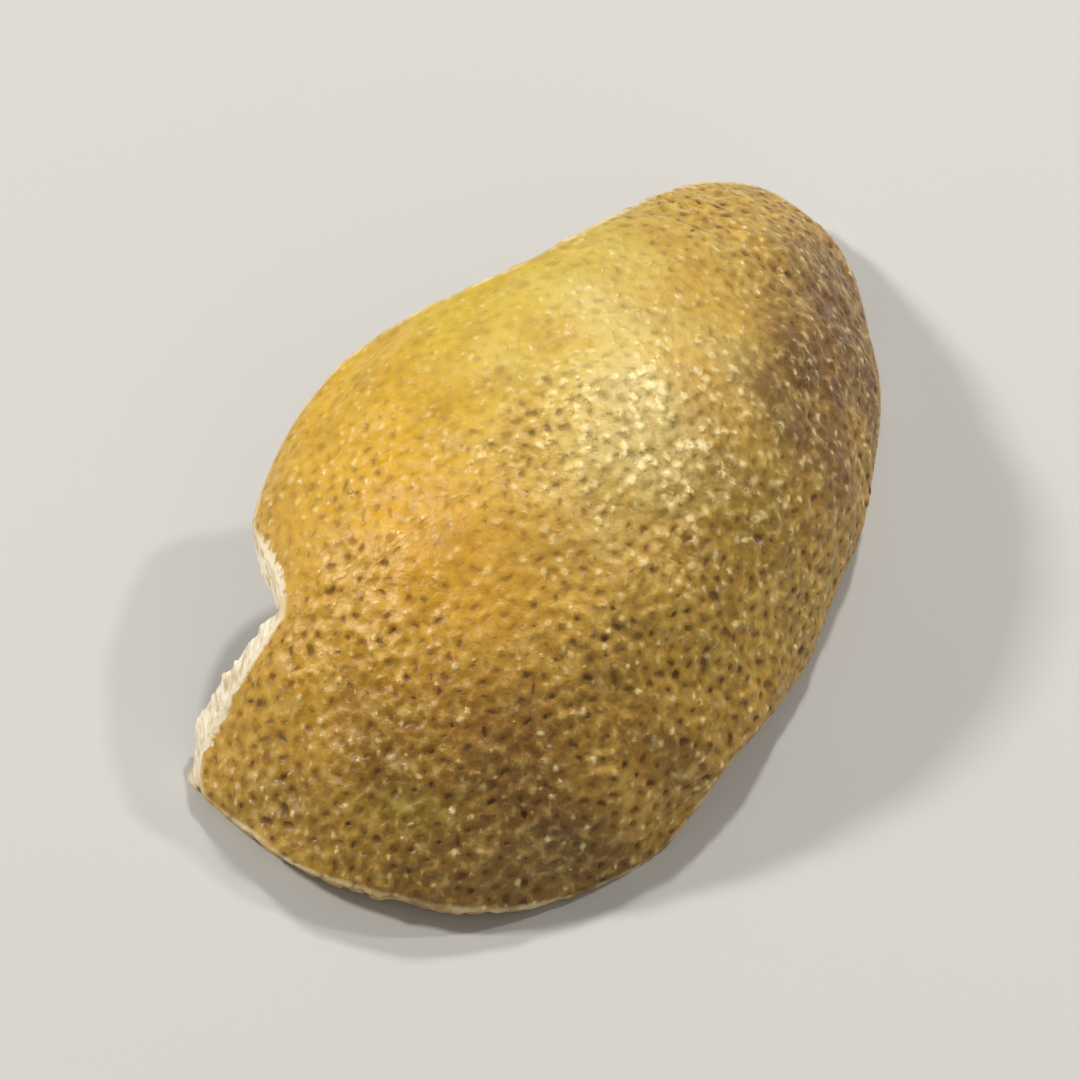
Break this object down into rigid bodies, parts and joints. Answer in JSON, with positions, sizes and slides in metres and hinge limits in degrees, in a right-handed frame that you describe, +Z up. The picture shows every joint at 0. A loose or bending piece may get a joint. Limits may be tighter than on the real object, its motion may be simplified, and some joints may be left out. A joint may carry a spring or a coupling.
{
  "type": "dried orange peel",
  "caption": "Dried scrap of orange peel, domed and lying skin side up, torn on one side, with pitted golden-brown skin, cream pith and an open hollow beneath.",
  "frame": {"origin": "on the ground, under the middle of the piece's box", "axes": "+Z up from the ground to the crown of the skin, +Y along the longest side towards the blunt far end, +X to the right towards the side that is curled under"},
  "size_m": [0.0268, 0.0356, 0.0125],
  "materials": {
    "rind": "dried, pitted, semi-gloss",
    "pith": "dry, fibrous, matt"
  },
  "bodies": {
    "root": {"peel": "rind"}
  },
  "joints": []
}
